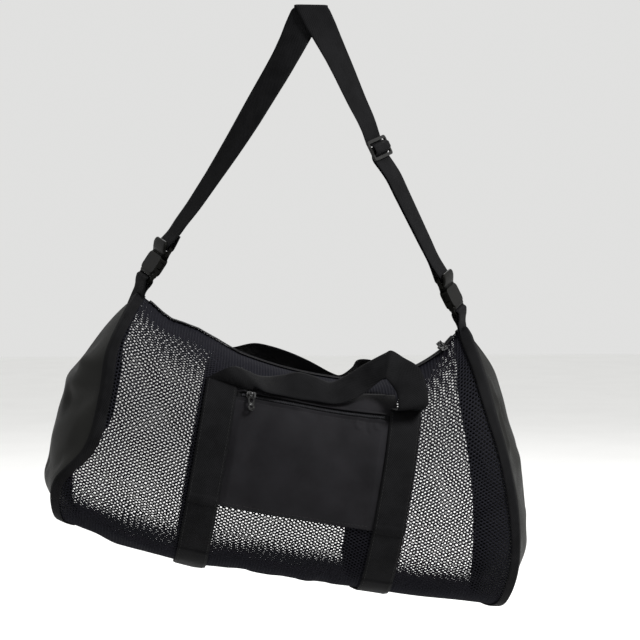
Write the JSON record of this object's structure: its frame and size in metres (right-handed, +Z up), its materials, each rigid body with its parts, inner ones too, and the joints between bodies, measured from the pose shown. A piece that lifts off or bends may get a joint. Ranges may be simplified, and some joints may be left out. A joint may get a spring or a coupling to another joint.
{
  "type": "gym bag",
  "caption": "Soft mesh duffel bag with solid end panels, zipped top, zipped front pocket, webbing handles and a buckled shoulder strap, shown hanging by the strap.",
  "frame": {"origin": "inside the fold at the top of the shoulder strap, where the bag hangs", "axes": "+Z up against gravity as it hangs, +X to the right seen from the pocket side, the pocket side faces -Y"},
  "size_m": [0.6054, 0.2666, 0.7588],
  "materials": {
    "mesh_cloth": "open hexagonal mesh, matte black",
    "coated_cloth": "coated woven cloth, soft sheen, black",
    "pocket_cloth": "plain woven cloth, matte dark grey",
    "webbing": "ribbed webbing, matte black",
    "zip_coil": "nylon coil, black",
    "plastic": "moulded, satin, dark grey",
    "painted_metal": "painted black, satin"
  },
  "bodies": {
    "bag": {"mesh_body": "mesh_cloth", "end_panel_left": "coated_cloth", "end_panel_right": "coated_cloth", "seam_binding_left": "webbing", "seam_binding_right": "webbing", "top_zip_tape": "webbing", "top_zip_coil": "zip_coil", "top_zip_slider": "painted_metal", "pocket_panel": "pocket_cloth", "pocket_upper": "pocket_cloth", "pocket_zip_tape": "webbing", "pocket_zip_coil": "zip_coil", "pocket_zip_slider": "painted_metal", "handle_front": "webbing", "handle_back": "webbing", "shoulder_strap": "webbing", "strap_slider": "plastic", "buckle_left_plug": "plastic", "buckle_left_socket": "plastic", "buckle_right_plug": "plastic", "buckle_right_socket": "plastic", "strap_tab_left": "webbing", "strap_tab_right": "webbing"},
    "pocket_pull": {"pocket_zip_pull": "painted_metal"},
    "top_pull": {"top_zip_pull": "painted_metal"}
  },
  "joints": [
    {"name": "pocket_pull_swing", "type": "hinge", "parent": "bag", "child": "pocket_pull", "pos_m": [-0.08063, -0.1194, -0.47891], "axis": [-0.9961, -0.0536, 0.0706], "range_deg": [0, 100]},
    {"name": "top_pull_swing", "type": "hinge", "parent": "bag", "child": "top_pull", "pos_m": [0.16432, 0, -0.42594], "axis": [-0.7901, 0, -0.613], "range_deg": [0, 150]}
  ]
}
